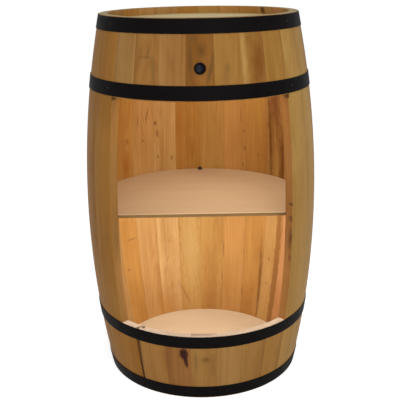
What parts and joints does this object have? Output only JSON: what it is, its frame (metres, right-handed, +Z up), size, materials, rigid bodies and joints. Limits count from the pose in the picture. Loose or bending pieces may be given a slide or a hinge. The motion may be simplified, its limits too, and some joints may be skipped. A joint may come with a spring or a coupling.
{
  "type": "barrel bar cabinet",
  "caption": "Upright wooden cask cabinet with black steel hoops, open front, half-moon shelf, sunk top and warm light inside worked by a round rocker switch.",
  "frame": {"origin": "on the floor, on the cask's upright axis, centre of the ring of stave ends it stands on", "axes": "+Z up along the cask's axis, front opening towards -Y, +X to the viewer's right"},
  "size_m": [0.5169, 0.5065, 0.81],
  "materials": {
    "side_stave_wood": "brushed lacquered softwood, long grain, light brown",
    "header_stave_wood": "lacquered softwood, warm brown, with a few dark streaks",
    "footer_stave_wood": "lacquered softwood, straw brown, one dark knot",
    "hoop_steel": "satin black enamel on strip steel",
    "nail_steel": "black, slightly rusted",
    "rivet_steel": "satin black, worn on the crown",
    "top_board": "pale birch plywood, matt",
    "floor_board": "pale birch plywood, matt",
    "shelf_board": "pale birch plywood, matt, sawn edge",
    "cleat_wood": "sawn softwood batten",
    "screw_steel": "yellow zinc plated",
    "grommet_rubber": "black rubber",
    "switch_case": "gloss black",
    "rocker_cap": "gloss blue-black",
    "terminal_brass": "tinned brass",
    "strip_film": "white flexible circuit",
    "led_package": "warm white LED package",
    "lead_sheath": "black two-core lead",
    "clip_plastic": "white nylon"
  },
  "bodies": {
    "cabinet": {"bottom_head": "floor_board", "cable_grommet": "grommet_rubber", "cleat_screws": "screw_steel", "footer_stave_1": "footer_stave_wood", "footer_stave_2": "footer_stave_wood", "footer_stave_3": "footer_stave_wood", "footer_stave_4": "footer_stave_wood", "footer_stave_5": "footer_stave_wood", "footer_stave_6": "footer_stave_wood", "footer_stave_7": "footer_stave_wood", "header_stave_1": "header_stave_wood", "header_stave_2": "header_stave_wood", "header_stave_3": "header_stave_wood", "header_stave_4": "header_stave_wood", "header_stave_5": "header_stave_wood", "header_stave_6": "header_stave_wood", "header_stave_7": "header_stave_wood", "hoop_bottom": "hoop_steel", "hoop_lower": "hoop_steel", "hoop_nails": "nail_steel", "hoop_rivets": "rivet_steel", "hoop_top": "hoop_steel", "hoop_upper": "hoop_steel", "lead_clips": "clip_plastic", "led_chips_lower": "led_package", "led_chips_upper": "led_package", "led_strip_lower": "strip_film", "led_strip_upper": "strip_film", "lower_strip_lead": "lead_sheath", "shelf": "shelf_board", "shelf_cleat_left": "cleat_wood", "shelf_cleat_rear_left": "cleat_wood", "shelf_cleat_rear_right": "cleat_wood", "shelf_cleat_right": "cleat_wood", "stave_01": "side_stave_wood", "stave_02": "side_stave_wood", "stave_03": "side_stave_wood", "stave_04": "side_stave_wood", "stave_05": "side_stave_wood", "stave_06": "side_stave_wood", "stave_07": "side_stave_wood", "stave_08": "side_stave_wood", "stave_09": "side_stave_wood", "stave_10": "side_stave_wood", "stave_11": "side_stave_wood", "stave_12": "side_stave_wood", "stave_13": "side_stave_wood", "stave_14": "side_stave_wood", "stave_15": "side_stave_wood", "stave_16": "side_stave_wood", "stave_17": "side_stave_wood", "stave_18": "side_stave_wood", "supply_lead": "lead_sheath", "switch_housing": "switch_case", "switch_terminals": "terminal_brass", "top_head": "top_board", "upper_strip_lead": "lead_sheath"},
    "rocker": {"switch_rocker": "rocker_cap"}
  },
  "joints": [
    {"name": "rocker_rock", "type": "hinge", "parent": "cabinet", "child": "rocker", "pos_m": [0, -0.22771, 0.71679], "axis": [0, 0.1684, 0.9857], "range_deg": [0, 16]}
  ]
}
